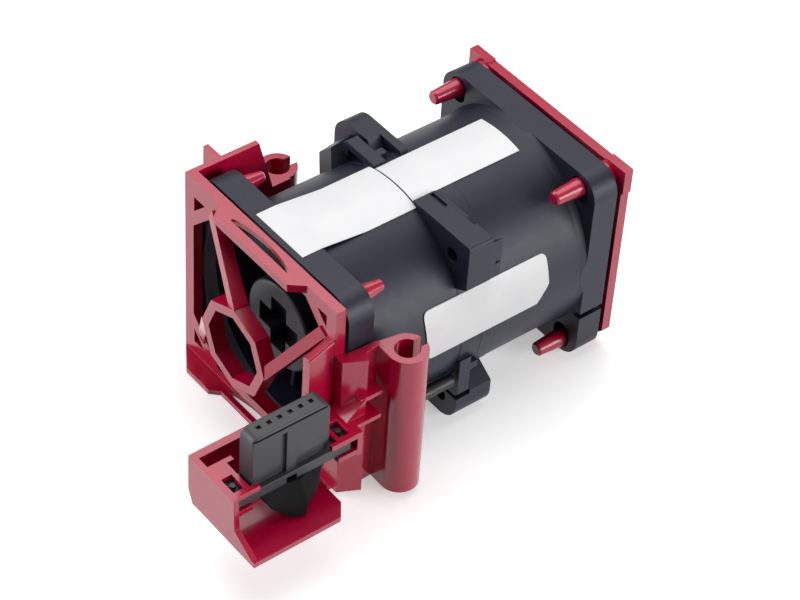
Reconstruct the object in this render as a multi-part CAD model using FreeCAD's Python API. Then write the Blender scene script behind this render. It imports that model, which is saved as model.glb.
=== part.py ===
import FreeCAD, Part
import math
import os

V = FreeCAD.Vector
os.makedirs("parts", exist_ok=True)

# Sizes in millimetres. X runs to the connector side, Y out of the outlet, Z up.

# Fan body
fan_side = 40.0
fan_length = 56.0
flange_thickness = 5.0
flange_corner_radius = 4.2
flange_hole_spacing = 32.0
flange_hole_radius = 1.9
flange_hole_reach = 1.3
barrel_inset = 0.15
barrel_wall = 1.2
collar_rise = 0.1
collar_front = 3.8
collar_back = 4.7
seam_offset = 0.5
seam_gap = 0.1
bell_mouth = 1.0
flare_length = 4.0
flare_rise = 0.4
lug_front = 3.9
lug_back = 3.6
lug_inset = 0.05
lug_corner_radius = 4.2
lug_hole_radius = 1.35
lug_gap = 0.12
square_lug_radius = 0.5
lug_shoulder = 1.1
lug_tab_back = 3.4
lug_tab_drop = 0.3
far_lug_wall = 2.0
strip_slot_start = 5.6
strip_slot_end = 9.5
strip_slot_width = 0.8
strip_slot_depth = 0.6
tab_slit_start = 2.2
tab_slit_low = 13.5
tab_slit_height = 0.5
tab_slit_depth = 2.0
far_lug_front = 0.7
corner_rib_start = 7.3
ridge_depth = 6.0
strip_back = 0.45
ridge_start = 6.0
ridge_end = 13.2
ridge_back = 1.3
hook_width = 2.4
hook_thickness = 1.4
hook_reach = 13.6
hook_bar_start = 6.8
hook_bar_end = 8.2
hook_bar_length = 3.9
wire_notch = 2.8
wire_way_depth = 2.6
wire_way_front = 8.0
flange_slit = 1.2
flange_slit_height = -9.5

# Motor, the same in both stages, measured from the middle of the fan
base_start = 1.0
base_thickness = 1.4
vane_count = 5
vane_thickness = 1.2
vane_reach = 4.0
board_gap = 0.3
chip_inner = 4.0
chip_outer = 6.0
chip_width = 2.0
chip_height = 0.7
board_thickness = 0.8
hub_radius = 8.4
hub_wall = 0.7
hub_web = 0.7
hub_recess = 1.3
hub_start = 4.4
hub_cross_width = 4.2
hub_cross_radius = 5.25
shaft_cover = 0.3
yoke_wall = 0.6
magnet_thickness = 1.1
magnet_start = 6.2
magnet_length = 12.6
air_gap = 0.3
core_start = 7.0
core_length = 11.0
tooth_count = 4
tooth_width = 1.7
tooth_tip = 0.7
winding_depth = 0.8
winding_gap = 0.05
tube_wall = 0.5
tube_length = 19.6
tube_end_gap = 1.3
shaft_radius = 1.0
shaft_start = 1.9
shaft_running_gap = 0.02
bearing_radius = 2.5
bearing_width = 2.3
bearing_inner_start = 3.2
bearing_set_back = 0.4
boss_radius = 2.4
boss_gap = 0.3
spring_inner = 1.1
spring_outer = 2.3
spring_sheet = 0.2
spring_seat = 0.3
clip_start = 2.55
clip_thickness = 0.3
clip_radius = 1.9
clip_groove = 0.2

# Impeller blades
inlet_blades = 7
outlet_blades = 5
blade_thickness = 0.9
blade_length = 15.0
blade_start = 7.0
blade_sweep_root = 5.0
blade_sweep_tip = 14.0
blade_camber = 1.2
tip_gap = 0.45

# Outlet ring and the snap prongs
ring_thickness = 1.8
ring_standoff = 0.9
ring_border = 1.9
ring_ear = 4.5
ring_ear_rise = 0.35
ring_chamfer = 4.0
prong_gap = 0.35
prong_barb = 0.12
prong_tip = 0.3
prong_length_outlet = 5.6
prong_length_inlet = 4.4
prong_end_outlet = 1.28
prong_end_inlet = 1.0

# Inlet carrier
frame_gap = 0.45
frame_depth = 1.85
frame_far_side = 1.5
frame_near_side = 0.33
frame_bar = 2.4
gusset_sum = 29.15
gusset_band = 2.2
far_window_drop = 1.2
octagon_outer = 8.65
octagon_inner = 6.8
octagon_depth = 2.8
octagon_front = 7.9
spoke_width = 2.0
lip_width = 9.9
lip_slope = 2.0
lip_front = 4.75
lip_thickness = 1.5
slot_reach = 7.6
slot_front = 3.1
slot_back = 1.45
slot_end_width = 0.5
slot_skin = 1.0
slot_margin = 0.9
base_plate = 1.0
bottom_lip_start = 16.5
bottom_lip_end = 10.0
bottom_lip_step = 8.5
bottom_lip_back = 4.1
bottom_lip_extra = 0.9
far_wall_thickness = 1.05
far_wall_length = 14.2
far_fin_reach = 3.7
far_fin_position = 4.4
far_post_offset = 4.3
far_post_position = 18.7
near_wall_gap = 0.2
near_wall_front = 1.6
near_panel_reach = 3.5
near_panel_length = 3.75
near_panel_return = 0.85
near_wall_end = 5.4
near_post_offset = 4.8
near_post_position = 8.2
near_post_top = 10.8
near_post_bottom = -18.9
far_post_top = 9.1
post_radius = 3.5
post_bore = 2.15
post_slot = 1.8
near_rib_reach = 7.1

# Connector bracket, in front of the frame
bracket_wall = 1.0
bracket_back = 4.2
bracket_back_wall = 1.5
bracket_front = 7.6
bracket_top = 0.4
bracket_bottom = -9.7
bracket_floor_front = 13.6
bracket_floor_end = 8.8
clip_plate = 1.0
clip_play = 0.25
far_clip_length = 3.0
near_clip_length = 3.7
clip_finger = 1.4
right_wall_start = 2.2
right_wall_depth = 5.0
ramp_rise = 3.2
ramp_length = 3.7
ramp_front = 4.5
ledge_thickness = 0.8
ledge_length = 4.8
low_ledge_reach = 5.95
high_ledge_reach = 4.35
high_ledge_offset = 1.9
pocket_length = 3.4
pocket_width = 2.0

# Connector
ear_overhang = 3.55
plug_thickness = 3.6
plug_back = 2.9
plug_top = 9.8
plug_corner = 1.6
strip_length = 22.1
strip_offset = 0.3
strip_near_gap = 1.05
strip_far_gap = 0.3
strip_ear = 0.85
strip_thickness = 2.0
strip_front = 7.05
nub_radius = 0.5
nub_height = 0.9
contact_count = 6
contact_pitch = 2.0
contact_hole = 0.8
contact_depth = 7.0
contact_wall = 0.12
key_offset = 0.9
key_width = 1.9
groove_width = 1.1
groove_depth = 0.6
panel_depth = 0.5
panel_height = 2.4
rim_line = 0.45
lead_radius = 1.1
sleeve_length = 12.4
sleeve_lean = 3.8
sleeve_end_z = -8.2
sleeve_top_depth = 3.2
sleeve_waist_depth = 3.4
sleeve_end_depth = 2.2
sleeve_top_crease = 1.2
sleeve_waist_crease = 1.7
sleeve_end_crease = 0.8
sleeve_crease_offset = 0.9
lead_start = 4.6
lead_bend = 2.2
lead_out = 3.2
lead_turn = 7.6
lead_rise = 0.5
lead_last_out = 4.6
lead_last_turn = 5.2
lead_end_out = 6.4

# Labels
label_thickness = 0.12
label_gap = 0.02
label_margin = 1.0
label_corner = 1.2
inlet_label_reach = 6.25
inlet_label_bend = 9.0
outlet_label_reach = 5.0
outlet_label_end = 18.9
side_label_front = 11.3
side_label_back = 14.7
side_label_low = -0.5
side_label_high = 8.6
side_label_nip = 3.2

# Stations and levels that follow from the sizes above
half = fan_side / 2
outlet_face = -ring_thickness - ring_standoff
middle = outlet_face - fan_length / 2
inlet_face = outlet_face - fan_length
seam = middle + seam_offset
barrel_radius = half - barrel_inset
bore_radius = barrel_radius - barrel_wall
collar_radius = barrel_radius + collar_rise
hole_half = flange_hole_spacing / 2
hub_face = fan_length / 2 - hub_recess
tube_end = base_start + tube_length
inside_end = tube_end + tube_end_gap + yoke_wall
cross_floor = inside_end + hub_web
shaft_end = cross_floor - shaft_cover
bearing_outer_start = tube_end - bearing_set_back - bearing_width
boss_start = tube_end + boss_gap
tube_radius = bearing_radius + tube_wall
yoke_radius = hub_radius - hub_wall
magnet_radius = yoke_radius - yoke_wall
core_radius = magnet_radius - magnet_thickness - air_gap
frame_front = inlet_face - frame_gap - frame_depth
frame_back = inlet_face - frame_gap
frame_far = -half - frame_far_side
frame_near = half - frame_near_side
prong_z = hole_half + flange_hole_reach
prong_radius = flange_hole_radius - prong_gap
plug_length = strip_length - 2 * ear_overhang
plug_centre = right_wall_start + bracket_wall + strip_near_gap + strip_offset + strip_length / 2
bracket_reach = plug_centre - strip_offset + strip_length / 2 + strip_far_gap + bracket_wall
plug_y = inlet_face - plug_centre
plug_x0 = half + plug_back
plug_x1 = plug_x0 + plug_thickness
plug_x = (plug_x0 + plug_x1) / 2
strip_top = bracket_top - clip_plate - clip_play
strip_bottom = strip_top - strip_thickness
clip_low = strip_bottom - clip_play
contact_x = plug_x0 + plug_thickness / 2 - 0.2
wire_x = half - 1.2
wire_z = -9.9
base_z = -half


# Plain shapes

def box(x0, x1, y0, y1, z0, z1):
    return Part.makeBox(x1 - x0, y1 - y0, z1 - z0, V(x0, y0, z0))


def cylinder_y(radius, y0, y1, x=0.0, z=0.0):
    return Part.makeCylinder(radius, y1 - y0, V(x, y0, z), V(0, 1, 0))


def cylinder_z(radius, z0, z1, x, y):
    return Part.makeCylinder(radius, z1 - z0, V(x, y, z0))


def tube_y(outer, inner, y0, y1):
    return cylinder_y(outer, y0, y1).cut(cylinder_y(inner, y0 - 1, y1 + 1))


def polygon_face(points):
    return Part.Face(Part.makePolygon(points + [points[0]]))


def prism_x(outline, x0, x1):
    face = polygon_face([V(x0, y, z) for y, z in outline])
    return face.extrude(V(x1 - x0, 0, 0))


def prism_y(outline, y0, y1):
    face = polygon_face([V(x, y0, z) for x, z in outline])
    return face.extrude(V(0, y1 - y0, 0))


def prism_z(outline, z0, z1):
    face = polygon_face([V(x, y, z0) for x, y in outline])
    return face.extrude(V(0, 0, z1 - z0))


def edges_along(shape, direction):
    found = []
    for edge in shape.Edges:
        tangent = edge.tangentAt(edge.FirstParameter)
        if abs(tangent.dot(direction)) > 0.999:
            found.append(edge)
    return found


def rounded_square(half_size, radius, y0, y1):
    block = box(-half_size, half_size, y0, y1, -half_size, half_size)
    return block.makeFillet(radius, edges_along(block, V(0, 1, 0)))


def turned(shape, angle):
    copy = shape.copy()
    copy.rotate(V(0, 0, 0), V(0, 1, 0), angle)
    return copy


def fuse(shapes):
    return shapes[0].multiFuse(shapes[1:]).removeSplitter()


def save(shape, name):
    shape.exportStep("parts/" + name + ".step")


# Helpers for one motor stage: side -1 is the inlet stage, +1 the outlet stage

def stage_span(side, near, far):
    return sorted((middle + side * near, middle + side * far))


def stage_disc(side, near, far, radius):
    y0, y1 = stage_span(side, near, far)
    return cylinder_y(radius, y0, y1)


def stage_tube(side, near, far, outer, inner):
    y0, y1 = stage_span(side, near, far)
    return tube_y(outer, inner, y0, y1)


def stage_box(side, x0, x1, near, far, z0, z1):
    y0, y1 = stage_span(side, near, far)
    return box(x0, x1, y0, y1, z0, z1)


# Fan housings

def flange_holes(y0, y1):
    holes = []
    for x in (-hole_half, hole_half):
        for sign in (-1, 1):
            z_low = sign * hole_half
            z_high = sign * (hole_half + flange_hole_reach)
            holes.append(cylinder_y(flange_hole_radius, y0, y1, x, z_low))
            holes.append(cylinder_y(flange_hole_radius, y0, y1, x, z_high))
            low, high = sorted((z_low, z_high))
            slot = box(x - flange_hole_radius, x + flange_hole_radius, y0, y1, low, high)
            holes.append(slot)
    return holes


def motor_base(side):
    disc = stage_disc(side, base_start, base_start + base_thickness, hub_radius)
    pieces = [disc]
    vane = stage_box(side, -vane_thickness / 2, vane_thickness / 2, base_start, vane_reach,
                     hub_radius - 0.6, bore_radius + barrel_wall / 2)
    for number in range(vane_count):
        pieces.append(turned(vane, 18 + number * 360.0 / vane_count))
    return pieces


def bell_cutter(face_y, side):
    depth = 2.0 * bell_mouth
    low = V(0, face_y, 0)
    return Part.makeCone(bore_radius + bell_mouth, bore_radius, depth, low, V(0, -side, 0))


def hook_arm():
    top = half - lug_inset
    under = top - hook_thickness
    root = -outlet_label_reach - 0.2
    tip = -hook_reach
    outline = [(root, top), (tip + 0.7, top), (tip, top - 0.7), (tip, top - 2.9),
               (tip + 1.3, top - 2.9), (tip + 1.3, under), (root, under)]
    y0 = middle - collar_front
    arm = prism_y(outline, y0, y0 + hook_width)
    bar = box(-hook_bar_end, -hook_bar_start, y0, y0 + hook_bar_length, under, top)
    return fuse([arm, bar])


def diagonal_copy(shape):
    placed = shape.mirror(V(0, 0, 0), V(1, 0, -1))
    return placed


def corner_rib():
    y0 = middle - corner_rib_start
    y1 = middle - far_lug_front - 0.3
    foot = barrel_radius - 0.6
    outline = [(y0, foot), (y1, foot), (y1, half + 3.7), (y0 + 1.9, half + 3.2)]
    return prism_x(outline, -2.2, 2.2)


def inlet_housing():
    y_back = inlet_face + flange_thickness
    pieces = [rounded_square(half, flange_corner_radius, inlet_face, y_back)]
    pieces.append(cylinder_y(barrel_radius, inlet_face, seam))
    pieces.append(cylinder_y(collar_radius, middle - collar_front, seam))
    pieces.append(hook_arm())
    pieces.append(diagonal_copy(hook_arm()))
    pieces.append(turned(corner_rib(), -45))
    body = fuse(pieces)
    body = body.cut(cylinder_y(bore_radius, inlet_face - 1, seam + 1))
    body = body.cut(bell_cutter(inlet_face, -1))
    body = fuse([body] + motor_base(-1))
    cutters = flange_holes(inlet_face - 1, y_back + 1)
    cutters.append(cylinder_y(tube_radius, middle - 4, middle))
    cutters.append(box(half - 2.6, half + 1, inlet_face - 1, y_back + 1,
                       wire_z - wire_notch / 2, wire_z + wire_notch / 2))
    return body.cut(fuse(cutters))


def lug_block(start_angle, end_angle, front, back, drop=0.0, radius=lug_corner_radius):
    y0 = middle - front
    y1 = middle + back
    block = rounded_square(half - lug_inset - drop, radius, y0, y1)
    far = 2.0 * fan_side
    outline = [(0.0, 0.0)]
    for angle in (start_angle, (start_angle + end_angle) / 2, end_angle):
        turn = math.radians(angle)
        outline.append((far * math.cos(turn), far * math.sin(turn)))
    block = block.common(prism_y(outline, y0 - 1, y1 + 1))
    return clear_of_collar(block)


def clear_of_collar(shape):
    front = middle - lug_front - 1
    shape = shape.cut(cylinder_y(collar_radius + lug_gap, front, seam + seam_gap))
    return shape.cut(cylinder_y(bore_radius + 0.3, front, outlet_face))


def lug_hole(sign_x, sign_z):
    place = half - lug_inset - lug_corner_radius
    y0 = middle - lug_front - 1
    return cylinder_y(lug_hole_radius, y0, middle + lug_back + 1, sign_x * place, sign_z * place)


def hook_notch():
    top = half + 1
    y0 = middle - lug_front - 1
    y1 = middle - collar_front + hook_width + 0.4
    return box(-hook_reach - 0.6, -3.0, y0, y1, half - 3.5, top)


def near_top_lug():
    radius = square_lug_radius
    pieces = [lug_block(28.6, 52.0, lug_front, lug_shoulder, 0.0, radius)]
    pieces.append(lug_block(28.6, 43.4, -lug_shoulder, lug_tab_back, lug_tab_drop, radius))
    pieces.append(lug_block(50.0, 75.0, lug_front, strip_back))
    ridge = box(ridge_start, ridge_end, middle + strip_back - 0.1, middle + ridge_back,
                half - ridge_depth, half - 0.3)
    pieces.append(clear_of_collar(ridge))
    lug = fuse(pieces).cut(lug_hole(1, 1))
    slot = box(strip_slot_start, strip_slot_end, middle - strip_slot_width, middle,
               half - strip_slot_depth, half + 1)
    slit = box(half - tab_slit_depth, half + 1, middle + tab_slit_start, middle + lug_tab_back + 1,
               tab_slit_low, tab_slit_low + tab_slit_height)
    return lug.cut(fuse([slot, slit]))


def far_top_lug():
    corner = lug_block(119.0, 156.0, far_lug_front, lug_back)
    wall = lug_block(106.0, 121.0, -far_lug_wall, lug_back)
    return fuse([corner, wall]).cut(lug_hole(-1, 1))


def outlet_lugs():
    near_bottom = lug_block(124.0, 156.0, lug_front, lug_back).cut(hook_notch()).cut(lug_hole(-1, 1))
    far_bottom = lug_block(205.0, 245.0, lug_front, lug_back).cut(lug_hole(-1, -1))
    return [near_top_lug(), far_top_lug(), diagonal_copy(near_bottom), far_bottom]


def outlet_flare(y_flange):
    y0 = y_flange - flare_length
    low = V(barrel_radius - 0.4, y0, 0)
    start = V(barrel_radius, y0, 0)
    bend = V(barrel_radius + 0.3 * flare_rise, y0 + 0.7 * flare_length, 0)
    rim = V(barrel_radius + flare_rise, y_flange, 0)
    inner = V(barrel_radius - 0.4, y_flange, 0)
    profile = polygon_face([start, bend, rim, inner, low])
    flare = profile.revolve(V(0, 0, 0), V(0, 1, 0), 360)
    limit = box(-half, half, y0 - 1, y_flange + 1, -half, half)
    return flare.common(limit)


def outlet_housing():
    start = seam + seam_gap
    y_flange = outlet_face - flange_thickness
    pieces = [rounded_square(half, flange_corner_radius, y_flange, outlet_face)]
    pieces.append(cylinder_y(barrel_radius, start, outlet_face))
    pieces.append(cylinder_y(collar_radius, start, middle + collar_back))
    pieces.append(outlet_flare(y_flange))
    pieces.extend(outlet_lugs())
    body = fuse(pieces)
    body = body.cut(cylinder_y(bore_radius, start - 1, outlet_face + 1))
    body = body.cut(bell_cutter(outlet_face, 1))
    body = fuse([body] + motor_base(1))
    cutters = flange_holes(y_flange - 1 - flare_length, outlet_face + 1)
    cutters.append(cylinder_y(tube_radius, middle, middle + 4))
    slit_z = flange_slit_height
    cutters.append(box(half - 1.9, half + 1, y_flange - 1, outlet_face + 1,
                       slit_z - flange_slit / 2, slit_z + flange_slit / 2))
    return body.cut(fuse(cutters))


# Motor pieces

def bearing_tube(side):
    tube = stage_tube(side, base_start, tube_end, tube_radius, bearing_radius)
    return tube


def bearing(side, start):
    ring = stage_tube(side, start, start + bearing_width, bearing_radius, shaft_radius + shaft_running_gap)
    face = start + bearing_width - 0.2
    return ring.cut(stage_tube(side, face, face + 1, 2.1, 1.45))


def bearings(side):
    return Part.makeCompound([bearing(side, bearing_inner_start), bearing(side, bearing_outer_start)])


def shaft(side):
    rod = stage_disc(side, shaft_start, shaft_end, shaft_radius)
    groove = stage_tube(side, clip_start - 0.05, clip_start + clip_thickness + 0.05,
                        shaft_radius + 1, shaft_radius - clip_groove)
    return rod.cut(groove)


def retaining_clip(side):
    ring = stage_tube(side, clip_start, clip_start + clip_thickness, clip_radius, shaft_radius - clip_groove)
    mouth = stage_box(side, -0.7, 0.7, clip_start - 1, clip_start + 1, 0.0, clip_radius + 1)
    return ring.cut(mouth)


def preload_spring(side):
    low = bearing_outer_start + bearing_width
    high = boss_start
    section = [(spring_inner, low), (spring_inner + spring_seat, low), (spring_outer, high - spring_sheet),
               (spring_outer, high), (spring_outer - spring_seat, high), (spring_inner, low + spring_sheet)]
    face = polygon_face([V(radius, middle + side * place, 0) for radius, place in section])
    return face.revolve(V(0, 0, 0), V(0, 1, 0), 360)


def circuit_board(side):
    start = base_start + base_thickness + board_gap
    radius = yoke_radius - 0.2
    board = stage_tube(side, start, start + board_thickness, radius, tube_radius + 0.1)
    face = start + board_thickness
    chip = stage_box(side, chip_inner, chip_outer, face, face + chip_height, -chip_width / 2, chip_width / 2)
    chips = [turned(chip, 0), turned(chip, 120), turned(chip, 240)]
    return fuse([board] + chips)


def stator_core(side):
    end = core_start + core_length
    root = core_radius - tooth_tip
    pieces = [stage_tube(side, core_start, end, tube_radius + 0.8, tube_radius)]
    tooth = stage_box(side, -tooth_width / 2, tooth_width / 2, core_start, end,
                      tube_radius + 0.2, core_radius - 0.3)
    tip_ring = stage_tube(side, core_start, end, core_radius, root)
    gap = stage_box(side, -0.5, 0.5, core_start - 1, end + 1, 0.0, core_radius + 1)
    step = 360.0 / tooth_count
    for number in range(tooth_count):
        pieces.append(turned(tooth, number * step))
        tip_ring = tip_ring.cut(turned(gap, (number + 0.5) * step))
    return fuse(pieces + [tip_ring])


def windings(side):
    end = core_start + core_length
    low = tube_radius + 0.85
    high = core_radius - tooth_tip - 0.05
    inner = tooth_width / 2 + winding_gap
    outer = inner + winding_depth
    loop = stage_box(side, -outer, outer, core_start - winding_depth, end + winding_depth, low, high)
    window = stage_box(side, -inner, inner, core_start - winding_gap, end + winding_gap, low - 1, high + 1)
    coil = loop.cut(window)
    limit = stage_tube(side, core_start - 3, end + 3, core_radius - tooth_tip - 0.05, tube_radius + 0.85)
    coil = coil.common(limit)
    step = 360.0 / tooth_count
    return Part.makeCompound([turned(coil, number * step) for number in range(tooth_count)])


def rotor_yoke(side):
    shell = stage_tube(side, hub_start + 0.8, inside_end, yoke_radius, magnet_radius)
    end_disc = stage_tube(side, inside_end - yoke_wall, inside_end, yoke_radius, boss_radius + 0.1)
    return fuse([shell, end_disc])


def magnet_ring(side):
    return stage_tube(side, magnet_start, magnet_start + magnet_length,
                      magnet_radius, magnet_radius - magnet_thickness)


def blade_section(radius, sweep, side, hand):
    near = side * blade_length / 2
    tip = hand * sweep / 2
    bow = hand * blade_camber
    grow = blade_thickness / 2
    first = [V(-tip + grow, near, radius), V(bow + grow, 0, radius), V(tip + grow, -near, radius)]
    second = [V(tip - grow, -near, radius), V(bow - grow, 0, radius), V(-tip - grow, near, radius)]
    edges = [Part.Arc(first[0], first[1], first[2]).toShape()]
    edges.append(Part.makeLine(first[2], second[0]))
    edges.append(Part.Arc(second[0], second[1], second[2]).toShape())
    edges.append(Part.makeLine(second[2], first[0]))
    return Part.Wire(edges)


def impeller(side, count, hand):
    hub = stage_disc(side, hub_start, hub_face, hub_radius)
    rim = [e for e in hub.Edges if abs(e.CenterOfMass.y - (middle + side * hub_face)) < 0.01]
    hub = hub.makeFillet(0.6, rim)
    hub = hub.cut(stage_disc(side, hub_start - 1, inside_end, yoke_radius))
    boss = stage_disc(side, boss_start, inside_end + 0.2, boss_radius)
    tip_radius = bore_radius - tip_gap
    inner = blade_section(hub_radius - 1.5, blade_sweep_root, side, hand)
    outer = blade_section(tip_radius + 1.5, blade_sweep_tip, side, hand)
    blade = Part.makeLoft([inner, outer], True, True)
    blade.translate(V(0, middle + side * (blade_start + blade_length / 2), 0))
    limit = stage_tube(side, hub_start, hub_face, tip_radius, hub_radius - hub_wall / 2)
    blade = blade.common(limit)
    blades = [turned(blade, number * 360.0 / count) for number in range(count)]
    body = fuse([hub, boss] + blades)
    bar = stage_box(side, -hub_cross_width / 2, hub_cross_width / 2, cross_floor, hub_face + 1,
                    -hub_cross_radius, hub_cross_radius)
    body = body.cut(fuse([bar, turned(bar, 90)]))
    return body.cut(stage_disc(side, boss_start - 1, shaft_end, shaft_radius))


# Snap prongs: a pin with a tapered barb behind the flange

def prong(x, z, root_y, flange_inner, length, end_radius, side):
    shank_end = flange_inner + side * 0.1
    low, high = sorted((root_y, shank_end))
    shank = cylinder_y(prong_radius, low, high, x, z)
    away = V(0, side, 0)
    taper = length - prong_tip
    barb = Part.makeCone(prong_radius + prong_barb, end_radius, taper, V(x, shank_end, z), away)
    tip_start = V(x, shank_end + side * taper, z)
    tip = Part.makeCone(end_radius, end_radius - prong_tip, prong_tip, tip_start, away)
    return fuse([shank, barb, tip])


def prongs(root_y, flange_inner, length, end_radius, side):
    pins = []
    for x in (-hole_half, hole_half):
        for z in (-prong_z, prong_z):
            pins.append(prong(x, z, root_y, flange_inner, length, end_radius, side))
    return pins


def outlet_ring():
    y0 = -ring_thickness
    edge = half
    ear_top = half + ring_ear_rise
    cut = edge - ring_chamfer
    outline = [(-cut, -edge), (cut, -edge), (edge, -cut), (edge, edge), (-edge, edge), (-edge, -cut)]
    pieces = [prism_y(outline, y0, 0.0)]
    ear = half - ring_ear
    for x0, x1 in ((-ear_top, -ear), (ear, ear_top)):
        pieces.append(box(x0, x1, y0, 0.0, ear, ear_top))
    window = half - ring_border
    body = fuse(pieces)
    opening = rounded_square(window, 0.45 * window, y0 - 1, 1.0)
    body = body.cut(opening)
    flange_inner = outlet_face - flange_thickness
    pads = []
    for x in (-hole_half, hole_half):
        for z in (-prong_z, prong_z):
            pads.append(cylinder_y(flange_hole_radius + 0.6, outlet_face + 0.05, y0 + 0.3, x, z))
    limit = prism_y(outline, outlet_face, 1.0)
    pads = [pad.common(limit) for pad in pads]
    return fuse([body] + pads + prongs(y0, flange_inner, prong_length_outlet, prong_end_outlet, -1))


# Inlet carrier: guard frame

def guard_plate():
    plate = box(frame_far, frame_near, frame_front, frame_back, base_z, half)
    left = frame_far + frame_bar
    right = frame_near - frame_bar
    top = half - frame_bar
    outline = [(left, -gusset_sum - left), (left, gusset_sum + left), (top - gusset_sum, top),
               (gusset_sum - top, top), (right, gusset_sum - right), (right, right - gusset_sum),
               (gusset_sum - top, -top), (top - gusset_sum, -top)]
    plate = plate.cut(prism_y(outline, frame_front - 1, frame_back + 1))
    window_sum = gusset_sum + gusset_band * math.sqrt(2)
    left_in = left + 0.2
    right_in = right - 0.1
    far_top = top - far_window_drop
    far_window = [(left_in, window_sum + left_in), (left_in, far_top), (far_top - window_sum, far_top)]
    near_window = [(window_sum - top, top), (right_in, top), (right_in, window_sum - right_in)]
    for window in (far_window, near_window):
        plate = plate.cut(prism_y(window, frame_front - 1, frame_back + 1))
        below = [(x, -z) for x, z in window]
        plate = plate.cut(prism_y(below, frame_front - 1, frame_back + 1))
    return plate


def octagon_ring():
    y0 = inlet_face - octagon_front
    rims = []
    for radius in (octagon_outer, octagon_inner):
        rim = []
        for number in range(8):
            turn = math.radians(45 * number)
            rim.append((radius * math.cos(turn), radius * math.sin(turn)))
        rims.append(rim)
    ring = prism_y(rims[0], y0, y0 + octagon_depth)
    return ring.cut(prism_y(rims[1], y0 - 1, y0 + octagon_depth + 1))


def spoke_end(x, z, side_x, side_z, y0, depth):
    reach = spoke_width / 2
    a = V(x - reach * side_x, y0, z - reach * side_z)
    b = V(x + reach * side_x, y0, z + reach * side_z)
    down = V(0, depth, 0)
    return Part.makePolygon([a, b, b + down, a + down, a])


def guard_spoke():
    inner_x = -0.2
    inner_z = octagon_outer - 0.7
    outer_z = 16.6
    outer_x = outer_z - gusset_sum - 1.4
    length = math.hypot(outer_x - inner_x, outer_z - inner_z)
    side_x = -(outer_z - inner_z) / length
    side_z = (outer_x - inner_x) / length
    y0 = inlet_face - octagon_front
    start = spoke_end(inner_x, inner_z, side_x, side_z, y0, octagon_depth)
    end = spoke_end(outer_x, outer_z, side_x, side_z, frame_front - 0.3, frame_depth + 0.3)
    return Part.makeLoft([start, end], True, True)


def finger_slot(z0, z1):
    front = inlet_face - slot_front
    end = front + slot_end_width
    bow = V(0, inlet_face - slot_back, z0)
    curve = Part.Arc(V(slot_reach, end, z0), bow, V(-slot_reach, end, z0)).toShape()
    rest = Part.makePolygon([V(-slot_reach, end, z0), V(-slot_reach, front, z0),
                             V(slot_reach, front, z0), V(slot_reach, end, z0)])
    face = Part.Face(Part.Wire([curve] + rest.Edges))
    return face.extrude(V(0, 0, z1 - z0))


def top_lip():
    front = inlet_face - lip_front
    root = lip_width + lip_slope
    outline = [(-root, frame_front), (-lip_width, front), (lip_width, front), (root, frame_front),
               (root, frame_back), (-root, frame_back)]
    return prism_z(outline, half - lip_thickness, half)


def bottom_lip():
    front = inlet_face - lip_front - bottom_lip_extra
    step = inlet_face - bottom_lip_back
    near = frame_near
    outline = [(frame_far, frame_front), (-bottom_lip_start, front), (-bottom_lip_end, front),
               (-bottom_lip_step, step),
               (near, step), (near, frame_back), (frame_far, frame_back)]
    return prism_z(outline, base_z, base_z + base_plate)


# Inlet carrier: side walls and guide posts

def guide_post(x, y, z0, z1):
    return cylinder_z(post_radius, z0, z1, x, y)


def guide_bore(x, y, z0, z1):
    bore = cylinder_z(post_bore, z0 - 1, z1 + 1, x, y)
    slot = box(x - post_slot / 2, x + post_slot / 2, y, y + post_radius + 1, z0 - 1, z1 + 1)
    return fuse([bore, slot])


def far_side():
    inner = frame_far + far_wall_thickness
    post_x = -half - far_post_offset
    post_y = inlet_face + far_post_position
    end = inlet_face + far_wall_length - 2.3
    outline = [(frame_front, base_z), (frame_front, half), (end, half), (end + 3.0, far_post_top),
               (post_y, far_post_top), (post_y, base_z)]
    wall = prism_x(outline, frame_far, inner)
    fin_y = inlet_face + far_fin_position
    fin = box(frame_far - far_fin_reach, inner, fin_y - 0.5, fin_y + 0.5, base_z, half)
    post = guide_post(post_x, post_y, base_z, far_post_top)
    web = [(inner, post_y - 4.5), (inner, post_y), (post_x, post_y), (post_x, post_y - post_radius)]
    web = prism_z(web, base_z, far_post_top)
    fan_room = box(-half - 0.3, half, inlet_face, outlet_face, -half, half)
    body = fuse([wall, fin, post, web]).cut(fan_room)
    return body.cut(guide_bore(post_x, post_y, base_z, far_post_top))


def near_side():
    inner = half + near_wall_gap
    front = half + near_wall_front
    end = inlet_face + near_wall_end
    crest = frame_front + near_panel_length
    outline = [(frame_near - 0.6, frame_front), (front, frame_front), (half + near_panel_reach, crest),
               (front + 0.2, crest + near_panel_return), (front, end), (inner + 0.4, end),
               (inner, frame_back), (frame_near - 0.6, frame_back)]
    wall = prism_z(outline, near_post_bottom, near_post_top)
    post_x = half + near_post_offset
    post_y = inlet_face + near_post_position
    post = guide_post(post_x, post_y, near_post_bottom, near_post_top)
    web = [(inner + 0.4, end - 0.6), (front, end - 0.6), (post_x, post_y - post_radius),
           (post_x - post_radius, post_y)]
    web = prism_z(web, near_post_bottom, near_post_top)
    bore = guide_bore(post_x, post_y, near_post_bottom, near_post_top)
    return fuse([wall, post, web]).cut(bore)


def near_rib():
    front = inlet_face - near_rib_reach
    top = 12.0
    outline = [(frame_back, top + 2.6), (frame_front, top + 2.0), (front, top), (front, wire_z + 3.0),
               (frame_back, wire_z + 3.0)]
    rib = prism_x(outline, half - 2.3, half - 0.5)
    crest = [e for e in rib.Edges if e.CenterOfMass.z > top and abs(e.CenterOfMass.y - frame_back) > 0.1]
    slant = [e for e in crest if abs(e.tangentAt(e.FirstParameter).y) > 0.5]
    return rib.makeFillet(0.5, slant)


# Inlet carrier: connector bracket

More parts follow.
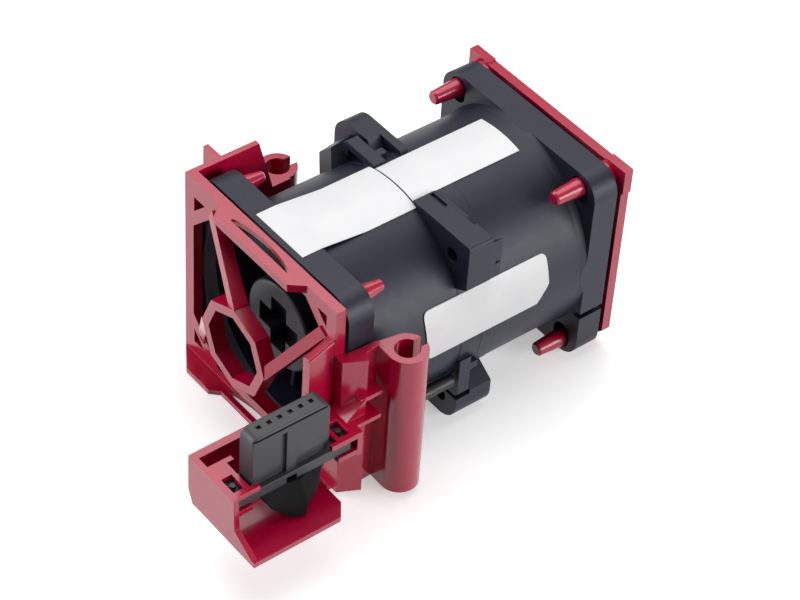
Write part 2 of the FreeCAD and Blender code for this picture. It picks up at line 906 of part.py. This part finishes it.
def bracket_walls():
    far_y = inlet_face - bracket_reach
    back = half - bracket_back
    front = half + bracket_front
    floor_front = half + bracket_floor_front
    top = bracket_top
    low = bracket_bottom
    profile = [(back, top), (front + 0.4, top), (front + 0.7, low + 3.8), (floor_front, low + 0.6),
               (floor_front, low), (back + 1.1, low), (back, low + 2.6)]
    left_wall = prism_y(profile, far_y, far_y + bracket_wall)
    back_outline = [(back, top), (back + bracket_back_wall, top), (back + bracket_back_wall, low),
                    (back + 1.1, low), (back, low + 2.6)]
    back_wall = prism_y(back_outline, far_y, frame_front)
    floor_end = inlet_face - bracket_floor_end
    floor = [(back + 1.1, far_y), (floor_front, far_y), (floor_front, floor_end - 2.0),
             (floor_front - 2.6, floor_end), (back + 1.1, floor_end)]
    floor = prism_z(floor, low, low + bracket_wall)
    return [left_wall, back_wall, floor]


def right_wall():
    y1 = inlet_face - right_wall_start
    front = half + bracket_front - 0.1
    back = half - 0.5
    return box(back, front, y1 - bracket_wall, y1, bracket_top - right_wall_depth, bracket_top)


def side_ramp():
    y0 = inlet_face - right_wall_start - bracket_wall
    y1 = y0 + ramp_length
    top = bracket_top
    outline = [(y0, top - 0.2), (y0, top), (y1, top + ramp_rise), (y1, top - 0.2)]
    return prism_x(outline, half + near_wall_gap, half + ramp_front)


def side_ledges():
    root = half + near_wall_front - 0.4
    y0 = inlet_face - right_wall_start
    low = box(root, half + low_ledge_reach, y0, y0 + ledge_length, bracket_top - ledge_thickness, bracket_top)
    top = bracket_top + ramp_rise
    y1 = y0 + high_ledge_offset
    high = box(root, half + high_ledge_reach, y1, y1 + ledge_length - 0.5, top - ledge_thickness, top)
    return [low, high]


def far_clip():
    wall = inlet_face - bracket_reach + bracket_wall
    end = wall + far_clip_length
    tip = end + clip_finger
    front = half + bracket_front
    bar_back = half - 0.4
    upper = bracket_top - clip_plate
    pieces = [box(bar_back, front, wall, end, upper, bracket_top)]
    pieces.append(box(bar_back, bar_back + 1.0, wall, tip, upper, bracket_top))
    pieces.append(box(plug_x1 + clip_play, front, wall, tip, upper, bracket_top))
    pieces.append(box(half - bracket_back + 0.5, front, wall, end, clip_low - clip_plate, clip_low))
    return pieces


def near_clip():
    wall = inlet_face - right_wall_start - bracket_wall
    end = wall - near_clip_length
    front = half + bracket_front - 0.1
    back = half - 0.5
    upper = bracket_top - clip_plate
    pieces = [box(back, front, end, wall, upper, bracket_top)]
    pieces.append(box(plug_x1 + clip_play, front, end - clip_finger, wall, upper, bracket_top))
    pieces.append(box(back, front, end, wall, clip_low - clip_plate, clip_low))
    return pieces


def clip_pockets():
    centre = plug_y + strip_offset
    ear = strip_length / 2 - strip_ear
    x0 = plug_x - pocket_length / 2
    cutters = []
    for y in (centre - ear, centre + ear):
        cutters.append(box(x0, x0 + pocket_length, y - pocket_width / 2, y + pocket_width / 2,
                           bracket_top - clip_plate - 0.1, bracket_top + 1))
    return cutters


def inlet_carrier():
    pieces = [guard_plate(), top_lip(), bottom_lip(), near_rib()]
    flange_inner = inlet_face + flange_thickness
    pieces.extend(prongs(frame_back, flange_inner, prong_length_inlet, prong_end_inlet, 1))
    body = fuse(pieces)
    for z0, z1 in ((half - frame_bar - 1, half + 1), (base_z - 1, base_z + frame_bar + 1)):
        body = body.cut(finger_slot(z0, z1))
    under = box(-slot_reach - slot_margin, slot_reach + slot_margin, inlet_face - slot_front - slot_end_width,
                frame_back + 1, half - frame_bar - 1, half - slot_skin)
    return body.cut(under).cut(wire_way())


def wire_way():
    return box(half - wire_way_depth, half + near_wall_gap, frame_front - wire_way_front, frame_back + 1,
               wire_z - wire_notch / 2, wire_z + wire_notch / 2)


def guard_spokes(carrier, ring):
    spoke = guard_spoke().cut(ring)
    return Part.makeCompound([turned(spoke, 90 * number).cut(carrier) for number in range(4)])


def near_side_wall(carrier):
    pieces = [near_side(), side_ramp(), right_wall()]
    pieces.extend(side_ledges())
    pieces.extend(near_clip())
    body = fuse(pieces).cut(fuse(clip_pockets()))
    return body.cut(carrier).cut(wire_way())


def connector_bracket(carrier):
    pieces = bracket_walls()
    pieces.extend(far_clip())
    body = fuse(pieces).cut(fuse(clip_pockets()))
    back_way = box(half - bracket_back - 1, half - 2.0, frame_front - 3.6, frame_front + 0.1,
                   bracket_bottom - 1, bracket_top - 1.5)
    return body.cut(back_way).cut(carrier)


# Connector and its wires

def plug_body():
    y0 = plug_y - plug_length / 2
    y1 = plug_y + plug_length / 2
    block = box(plug_x0, plug_x1, y0, y1, strip_top - 0.1, plug_top)
    ends = [e for e in block.Edges if e.CenterOfMass.z > plug_top - 0.1]
    ends = [e for e in ends if abs(e.tangentAt(e.FirstParameter).x) > 0.9]
    block = block.makeFillet(plug_corner, ends)
    return block.makeFillet(0.35, edges_along(block, V(0, 0, 1)))


def strip_body():
    centre = plug_y + strip_offset
    y0 = centre - strip_length / 2
    y1 = centre + strip_length / 2
    front = half + strip_front
    strip = box(plug_x0 - 0.4, front, y0, y1, strip_bottom, strip_top)
    notch = box(front - 1.0, front + 1, plug_y - 1.2, plug_y + 0.8, strip_bottom - 1, strip_bottom + 1.1)
    return strip.cut(notch)


def connector_housing():
    pieces = [plug_body(), strip_body()]
    centre = plug_y + strip_offset
    ear = strip_length / 2 - strip_ear
    for y in (centre - ear, centre + ear):
        pieces.append(cylinder_z(nub_radius, strip_top - 0.1, strip_top + nub_height, plug_x, y))
    body = fuse(pieces)
    y0 = plug_y - plug_length / 2 - 1
    y1 = plug_y + plug_length / 2 + 1
    front = plug_x1 + 1
    key_y = plug_y - key_offset
    groove_y = key_y - groove_width
    cutters = [box(plug_x1 - groove_depth, front, groove_y, key_y, strip_top, plug_top - 4 * rim_line)]
    for start, end in ((y0, groove_y), (key_y + key_width, y1)):
        cutters.append(box(plug_x1 - panel_depth, front, start, end, strip_top, strip_top + panel_height))
    cutters.append(box(plug_x1 - rim_line, front, y0, y1, plug_top - 2 * rim_line, plug_top - rim_line))
    reach = contact_hole / 2
    for y in contact_rows():
        cutters.append(box(contact_x - reach, contact_x + reach, y - reach, y + reach,
                           plug_top - contact_depth, plug_top + 1))
    for cutter in cutters:
        body = body.cut(cutter)
    return body


def contact_rows():
    first = plug_y - contact_pitch * (contact_count - 1) / 2
    return [first + contact_pitch * number for number in range(contact_count)]


def connector_contacts():
    tubes = []
    outer = contact_hole / 2 - 0.02
    inner = outer - contact_wall
    z0 = plug_top - contact_depth
    for y in contact_rows():
        tube = box(contact_x - outer, contact_x + outer, y - outer, y + outer, z0, plug_top - 0.6)
        hollow = box(contact_x - inner, contact_x + inner, y - inner, y + inner, z0 + 0.5, plug_top)
        tubes.append(tube.cut(hollow))
    return Part.makeCompound(tubes)


def lead_points():
    low = bracket_bottom + bracket_wall + lead_radius
    return [V(wire_x, middle - lead_start, wire_z), V(wire_x, frame_front - lead_bend, wire_z),
            V(half + lead_out, inlet_face - lead_turn, low + lead_rise),
            V(half + lead_last_out, plug_y + lead_last_turn, low + 1.1),
            V(half + lead_end_out, plug_y + 0.6, low + 1.7)]


def rounded_path(points):
    edges = []
    last = points[0]
    for number in range(1, len(points) - 1):
        corner = points[number]
        before = (points[number - 1] - corner)
        after = (points[number + 1] - corner)
        reach = 0.45 * min(before.Length, after.Length)
        before.normalize()
        after.normalize()
        enter = corner + before * reach
        leave = corner + after * reach
        bend = math.acos(max(-1.0, min(1.0, before.dot(after))))
        inward = before + after
        inward.normalize()
        centre = corner + inward * (reach / math.cos(bend / 2))
        radius = (enter - centre).Length
        edges.append(Part.makeLine(last, enter))
        edges.append(Part.Arc(enter, centre - inward * radius, leave).toShape())
        last = leave
    edges.append(Part.makeLine(last, points[-1]))
    return Part.Wire(edges)


def lead_bundle():
    points = lead_points()
    path = rounded_path(points)
    along = points[1] - points[0]
    circle = Part.Wire(Part.makeCircle(lead_radius, points[0], along))
    return path.makePipeShell([circle], True, True)


def sleeve_section(x, y, z, depth, length, crease):
    back = x - depth / 2
    front = x + depth / 2
    y0 = y - length / 2
    y1 = y + length / 2
    fold = V(front + crease, y + sleeve_crease_offset, z)
    points = [V(back, y0, z), V(back, y1, z), V(front, y1, z), fold, V(front, y0, z)]
    return Part.makePolygon(points + [points[0]])


def wire_sleeve():
    top_z = strip_bottom - 0.02
    waist_z = (top_z + sleeve_end_z) / 2
    waist_x = plug_x + 0.5 * sleeve_lean
    end_x = plug_x + sleeve_lean
    top = sleeve_section(plug_x, plug_y + 0.2, top_z, sleeve_top_depth, sleeve_length, sleeve_top_crease)
    waist = sleeve_section(waist_x, plug_y - 0.3, waist_z, sleeve_waist_depth, 0.74 * sleeve_length,
                           sleeve_waist_crease)
    end = sleeve_section(end_x, plug_y - 0.4, sleeve_end_z, sleeve_end_depth, 0.2 * sleeve_length,
                         sleeve_end_crease)
    return Part.makeLoft([top, waist, end], True, True)


# Labels: thin bent sheets on the barrel

def label_arc(radius, reach, y):
    z_edge = math.sqrt(radius * radius - reach * reach)
    return [V(-reach, y, z_edge), V(0, y, radius), V(reach, y, z_edge)]


def sheet_section(low, high):
    edges = [Part.Arc(low[0], low[1], low[2]).toShape(), Part.makeLine(low[2], high[2])]
    edges.append(Part.Arc(high[2], high[1], high[0]).toShape())
    edges.append(Part.makeLine(high[0], low[0]))
    return Part.Wire(edges)


def inlet_label():
    reach = inlet_label_reach
    inner = collar_radius + label_gap
    outer = inner + label_thickness
    flat = half + label_gap
    stations = [(inlet_face + label_margin, True), (inlet_face + flange_thickness, True),
                (inlet_face + flange_thickness + inlet_label_bend, False), (middle - collar_front - 0.2, False)]
    sections = []
    for y, on_flange in stations:
        if on_flange:
            low = flat_points(reach, y, flat)
            high = flat_points(reach, y, flat + label_thickness)
        else:
            low = label_arc(inner, reach, y)
            high = label_arc(outer, reach, y)
        sections.append(sheet_section(low, high))
    pieces = []
    for number in range(3):
        pieces.append(Part.makeLoft(sections[number:number + 2], True, True))
    return fuse(pieces)


def flat_points(reach, y, level):
    return [V(-reach, y, level), V(0, y, level + 0.001), V(reach, y, level)]


def outlet_label():
    start = middle - collar_front + 0.1
    end = middle + outlet_label_end
    inner = collar_radius + label_gap
    sheet = tube_y(inner + label_thickness, inner, start, end)
    return sheet.common(box(-outlet_label_reach, outlet_label_reach, start, end, 0, half + 1))


def side_label():
    y0 = middle - side_label_front
    y1 = middle + side_label_back
    inner = collar_radius + label_gap
    sheet = tube_y(inner + label_thickness, inner, y0, y1)
    plate = box(0, half + 1, y0, y1, side_label_low, side_label_high)
    plate = plate.makeFillet(label_corner, edges_along(plate, V(1, 0, 0)))
    low = side_label_low
    nip = low + side_label_nip
    corner = [(y1 - side_label_nip, low - 1), (y1 + 1, low - 1), (y1 + 1, nip), (y1, nip)]
    return sheet.common(plate).cut(prism_x(corner, 0, half + 2))


# Build every piece

carrier = inlet_carrier()
ring = octagon_ring()
save(carrier, "inlet_carrier")
save(ring, "guard_ring")
save(guard_spokes(carrier, ring), "guard_spokes")
save(far_side().cut(carrier), "far_side_wall")
save(near_side_wall(carrier), "near_side_wall")
save(connector_bracket(carrier), "connector_bracket")
save(outlet_ring(), "outlet_ring")
save(inlet_housing(), "inlet_housing")
save(outlet_housing(), "outlet_housing")
save(impeller(-1, inlet_blades, 1), "inlet_impeller")
save(impeller(1, outlet_blades, 1), "outlet_impeller")

for stage, side in (("inlet", -1), ("outlet", 1)):
    save(rotor_yoke(side), stage + "_rotor_yoke")
    save(magnet_ring(side), stage + "_magnet_ring")
    save(shaft(side), stage + "_shaft")
    save(bearings(side), stage + "_bearings")
    save(bearing_tube(side), stage + "_bearing_tube")
    save(stator_core(side), stage + "_stator_core")
    save(windings(side), stage + "_windings")
    save(circuit_board(side), stage + "_circuit_board")
    save(preload_spring(side), stage + "_preload_spring")
    save(retaining_clip(side), stage + "_retaining_clip")

lead = lead_bundle()
save(connector_housing(), "connector_housing")
save(connector_contacts(), "connector_contacts")
save(wire_sleeve().cut(lead), "wire_sleeve")
save(lead, "lead_bundle")
save(inlet_label(), "inlet_label")
save(outlet_label(), "outlet_label")
save(side_label(), "side_label")
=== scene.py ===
import math

import bpy
from mathutils import Euler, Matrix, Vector


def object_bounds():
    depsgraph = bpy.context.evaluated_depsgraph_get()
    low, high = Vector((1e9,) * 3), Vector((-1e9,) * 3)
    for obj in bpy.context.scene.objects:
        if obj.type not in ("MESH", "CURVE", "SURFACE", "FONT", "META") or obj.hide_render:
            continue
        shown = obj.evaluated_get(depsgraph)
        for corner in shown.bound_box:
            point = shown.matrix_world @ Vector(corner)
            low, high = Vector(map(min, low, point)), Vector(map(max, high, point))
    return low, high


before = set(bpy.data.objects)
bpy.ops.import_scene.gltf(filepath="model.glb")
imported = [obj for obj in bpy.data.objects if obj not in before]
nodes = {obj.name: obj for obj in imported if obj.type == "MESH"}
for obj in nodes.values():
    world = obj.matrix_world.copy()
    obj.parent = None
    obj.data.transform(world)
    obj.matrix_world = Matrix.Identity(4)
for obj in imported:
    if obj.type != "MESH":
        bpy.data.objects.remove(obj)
cad_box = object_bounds()
MM = 0.001
WHITE = (1.0, 1.0, 1.0, 1.0)


# Colours are given as the eye sees them, 0 to 255, and turned into linear values

def linear(red, green, blue):
    values = []
    for channel in (red, green, blue):
        c = channel / 255.0
        values.append(c / 12.92 if c <= 0.04045 else ((c + 0.055) / 1.055) ** 2.4)
    return (values[0], values[1], values[2], 1.0)


# Shader nodes

NOISE_LOW = 0.3
NOISE_HIGH = 0.7
EDGE_SAMPLES = 4


def new_material(name):
    material = bpy.data.materials.new(name)
    material.use_nodes = True
    tree = material.node_tree
    shader = tree.nodes["Principled BSDF"]
    return material, tree, shader


def object_coords(tree):
    return tree.nodes.new("ShaderNodeTexCoord").outputs["Object"]


def noise(tree, coords, scale, detail, rough=0.5):
    node = tree.nodes.new("ShaderNodeTexNoise")
    node.inputs["Scale"].default_value = scale
    node.inputs["Detail"].default_value = detail
    node.inputs["Roughness"].default_value = rough
    tree.links.new(coords, node.inputs["Vector"])
    return node.outputs["Fac"]


def mapped(tree, value, low, high, start, end):
    node = tree.nodes.new("ShaderNodeMapRange")
    node.inputs["From Min"].default_value = low
    node.inputs["From Max"].default_value = high
    node.inputs["To Min"].default_value = start
    node.inputs["To Max"].default_value = end
    tree.links.new(value, node.inputs["Value"])
    return node.outputs["Result"]


def spread(tree, value, start, end):
    return mapped(tree, value, NOISE_LOW, NOISE_HIGH, start, end)


def mix_colours(tree, factor, first, second):
    node = tree.nodes.new("ShaderNodeMix")
    node.data_type = "RGBA"
    tree.links.new(factor, node.inputs[0])
    for socket, colour in ((node.inputs[6], first), (node.inputs[7], second)):
        if isinstance(colour, tuple):
            socket.default_value = colour
        else:
            tree.links.new(colour, socket)
    return node.outputs[2]


def maths(tree, operation, first, second):
    node = tree.nodes.new("ShaderNodeMath")
    node.operation = operation
    tree.links.new(first, node.inputs[0])
    tree.links.new(second, node.inputs[1])
    return node.outputs["Value"]


def distance(tree, coords):
    node = tree.nodes.new("ShaderNodeVectorMath")
    node.operation = "LENGTH"
    tree.links.new(coords, node.inputs[0])
    return node.outputs["Value"]


def soft_edges(tree, radius):
    node = tree.nodes.new("ShaderNodeBevel")
    node.samples = EDGE_SAMPLES
    node.inputs["Radius"].default_value = radius
    return node.outputs["Normal"]


def grain_normal(tree, height, strength, depth, normal):
    node = tree.nodes.new("ShaderNodeBump")
    node.inputs["Strength"].default_value = strength
    node.inputs["Distance"].default_value = depth
    tree.links.new(height, node.inputs["Height"])
    tree.links.new(normal, node.inputs["Normal"])
    return node.outputs["Normal"]


# Rays that are seen: directly, in gloss or through glass

def seen_rays(tree):
    path = tree.nodes.new("ShaderNodeLightPath")
    value = path.outputs["Is Camera Ray"]
    for name in ("Is Glossy Ray", "Is Transmission Ray"):
        value = maths(tree, "MAXIMUM", value, path.outputs[name])
    return value


# Kinds of material

PLASTIC_EDGE = 0.15 * MM
PLASTIC_GRAIN_DEPTH = 0.02 * MM
COAT_ROUGHNESS = 0.08
METAL_EDGE = 0.08 * MM
BRUSH_STRETCH = (1.0, 0.05, 1.0)
BRUSH_SMOOTHEST = 0.8
BRUSH_ROUGHEST = 1.3
FILM_EDGE = 0.05 * MM
FILM_GRAIN_DEPTH = 0.01 * MM


def moulded_plastic(name, dark, light, roughness, grain, coat=0.0, specular=0.5):
    material, tree, shader = new_material(name)
    coords = object_coords(tree)
    flow = noise(tree, coords, scale=160.0, detail=4.0, rough=0.6)
    fine = noise(tree, coords, scale=5200.0, detail=2.0)
    wear = noise(tree, coords, scale=700.0, detail=6.0, rough=0.7)
    tint = mix_colours(tree, spread(tree, flow, 0.0, 1.0), dark, light)
    tree.links.new(tint, shader.inputs["Base Color"])
    tree.links.new(spread(tree, wear, *roughness), shader.inputs["Roughness"])
    edges = soft_edges(tree, PLASTIC_EDGE)
    normal = grain_normal(tree, fine, grain, PLASTIC_GRAIN_DEPTH, edges)
    tree.links.new(normal, shader.inputs["Normal"])
    shader.inputs["Coat Weight"].default_value = coat
    shader.inputs["Coat Roughness"].default_value = COAT_ROUGHNESS
    shader.inputs["Specular IOR Level"].default_value = specular
    return material


def brushed_metal(name, dark, light, roughness):
    material, tree, shader = new_material(name)
    mapping = tree.nodes.new("ShaderNodeMapping")
    mapping.inputs["Scale"].default_value = BRUSH_STRETCH
    tree.links.new(object_coords(tree), mapping.inputs["Vector"])
    brush = noise(tree, mapping.outputs["Vector"], scale=6000.0, detail=3.0)
    tint = mix_colours(tree, spread(tree, brush, 0.0, 1.0), dark, light)
    tree.links.new(tint, shader.inputs["Base Color"])
    worn = spread(tree, brush, roughness * BRUSH_SMOOTHEST, roughness * BRUSH_ROUGHEST)
    tree.links.new(worn, shader.inputs["Roughness"])
    shader.inputs["Metallic"].default_value = 1.0
    tree.links.new(soft_edges(tree, METAL_EDGE), shader.inputs["Normal"])
    return material


def label_film(name, dark, light, roughness, grain):
    material, tree, shader = new_material(name)
    coords = object_coords(tree)
    cloud = noise(tree, coords, scale=240.0, detail=3.0)
    fibre = noise(tree, coords, scale=4200.0, detail=3.0)
    tint = mix_colours(tree, spread(tree, cloud, 0.0, 1.0), dark, light)
    tree.links.new(tint, shader.inputs["Base Color"])
    tree.links.new(spread(tree, fibre, *roughness), shader.inputs["Roughness"])
    normal = grain_normal(tree, fibre, grain, FILM_GRAIN_DEPTH, soft_edges(tree, FILM_EDGE))
    tree.links.new(normal, shader.inputs["Normal"])
    return material


# Materials of the pieces

red = moulded_plastic(
    "red_plastic", linear(179, 2, 54), linear(185, 3, 58),
    roughness=(0.2, 0.24), grain=0.03, coat=0.36)
black = moulded_plastic(
    "black_plastic", linear(17, 20, 38), linear(21, 25, 43),
    roughness=(0.44, 0.50), grain=0.10, specular=0.45)
impeller_black = moulded_plastic(
    "impeller_plastic", linear(22, 24, 33), linear(27, 29, 38),
    roughness=(0.42, 0.48), grain=0.08)
connector_grey = moulded_plastic(
    "connector_plastic", linear(50, 51, 56), linear(57, 58, 63),
    roughness=(0.42, 0.48), grain=0.10)
sleeve_black = moulded_plastic(
    "sleeve_rubber", linear(7, 7, 10), linear(11, 11, 15),
    roughness=(0.6, 0.75), grain=0.35, specular=0.15)
wire_black = moulded_plastic(
    "wire_jacket", linear(16, 16, 18), linear(26, 26, 28),
    roughness=(0.35, 0.5), grain=0.2)
board_green = moulded_plastic(
    "board_coat", linear(16, 70, 40), linear(24, 92, 52),
    roughness=(0.3, 0.45), grain=0.15)
magnet_grey = moulded_plastic(
    "magnet_sinter", linear(52, 52, 56), linear(66, 66, 70),
    roughness=(0.5, 0.7), grain=0.4)
steel = brushed_metal(
    "ground_steel", linear(170, 172, 176), linear(205, 207, 210), roughness=0.28)
core = brushed_metal(
    "core_sheets", linear(110, 112, 118), linear(150, 152, 158), roughness=0.4)
brass = brushed_metal(
    "turned_brass", linear(196, 160, 86), linear(222, 190, 116), roughness=0.3)
copper = brushed_metal(
    "copper_wire", linear(176, 96, 52), linear(206, 124, 74), roughness=0.35)
film = label_film(
    "label_film", linear(238, 238, 240), linear(243, 243, 244),
    roughness=(0.32, 0.5), grain=0.08)

finishes = {
    "inlet_carrier": red, "guard_ring": red, "guard_spokes": red, "far_side_wall": red,
    "near_side_wall": red, "connector_bracket": red, "outlet_ring": red,
    "inlet_housing": black, "outlet_housing": black,
    "inlet_impeller": impeller_black, "outlet_impeller": impeller_black,
    "connector_housing": connector_grey, "connector_contacts": brass,
    "wire_sleeve": sleeve_black, "lead_bundle": wire_black,
    "inlet_label": film, "outlet_label": film, "side_label": film,
}
stage_finishes = {
    "rotor_yoke": steel, "magnet_ring": magnet_grey, "shaft": steel, "bearings": steel,
    "bearing_tube": brass, "stator_core": core, "windings": copper,
    "circuit_board": board_green, "preload_spring": steel, "retaining_clip": steel,
}
for stage in ("inlet", "outlet"):
    for piece, finish in stage_finishes.items():
        finishes[stage + "_" + piece] = finish

for name, finish in finishes.items():
    mesh = nodes[name].data
    mesh.materials.clear()
    mesh.materials.append(finish)


# Floor: pale to rays that are seen, more so further out, and grey to the light that it throws back

FLOOR_SIZE = 6.0
FLOOR_GAP = 0.00005
GLOW_START = 0.2
GLOW_END = 0.8
GLOW_NEAR = 0.42
GLOW_FAR = 0.95


def floor_material():
    material, tree, shader = new_material("pale_floor")
    coords = object_coords(tree)
    cloud = noise(tree, coords, scale=6.0, detail=3.0)
    seen = seen_rays(tree)
    pale = mix_colours(
        tree, spread(tree, cloud, 0.0, 1.0), linear(248, 248, 248), linear(251, 251, 251))
    tint = mix_colours(tree, seen, linear(110, 110, 110), pale)
    tree.links.new(tint, shader.inputs["Base Color"])
    shader.inputs["Roughness"].default_value = 0.7
    shader.inputs["Specular IOR Level"].default_value = 0.2
    shader.inputs["Emission Color"].default_value = WHITE
    glow = mapped(tree, distance(tree, coords), GLOW_START, GLOW_END, GLOW_NEAR, GLOW_FAR)
    tree.links.new(maths(tree, "MULTIPLY", seen, glow), shader.inputs["Emission Strength"])
    return material


floor_level = cad_box[0][2]
bpy.ops.mesh.primitive_plane_add(
    size=FLOOR_SIZE, location=(0.0, 0.0, floor_level - FLOOR_GAP))
floor = bpy.context.object
floor.name = "floor"
floor.data.materials.append(floor_material())


# Camera at the photograph's place

SENSOR_WIDTH = 36.0
LENS = 119.54
CLIP_START = 0.01
CAMERA_PLACE = (251.718 * MM, -248.931 * MM, 302.320 * MM)
CAMERA_TURN = (math.radians(46.916), math.radians(-2.9377), math.radians(51.9073))

camera_data = bpy.data.cameras.new("camera")
camera_data.sensor_width = SENSOR_WIDTH
camera_data.lens = LENS
camera_data.clip_start = CLIP_START
camera = bpy.data.objects.new("camera", camera_data)
camera.location = CAMERA_PLACE
camera.rotation_euler = Euler(CAMERA_TURN, "XYZ")
bpy.context.collection.objects.link(camera)
bpy.context.scene.camera = camera


# Light: three large soft panels, in a room that is dim but looks pale to rays that are seen

LIGHT_TARGET = Vector((0.0, -0.035, 0.0))
ROOM_LIGHT = 0.02
ROOM_SEEN = 0.4


def panel(name, place, size, power):
    data = bpy.data.lights.new(name, "AREA")
    data.shape = "RECTANGLE"
    data.size, data.size_y = size
    data.energy = power
    light = bpy.data.objects.new(name, data)
    light.location = place
    direction = LIGHT_TARGET - Vector(place)
    light.rotation_euler = direction.to_track_quat("-Z", "Y").to_euler()
    bpy.context.collection.objects.link(light)


panel("overhead", place=(-0.22, 0.165, 0.775), size=(0.9, 0.9), power=6.2)
panel("left_front", place=(-0.57, -0.79, 0.3), size=(0.8, 0.6), power=7.4)
panel("right", place=(0.88, 0.33, 0.26), size=(0.8, 0.45), power=7.2)

world = bpy.data.worlds.new("room")
world.use_nodes = True
background = world.node_tree.nodes["Background"]
background.inputs["Color"].default_value = WHITE
strength = mapped(
    world.node_tree, seen_rays(world.node_tree), 0.0, 1.0, ROOM_LIGHT, ROOM_SEEN)
world.node_tree.links.new(strength, background.inputs["Strength"])
bpy.context.scene.world = world
bpy.context.scene.view_settings.view_transform = "Standard"
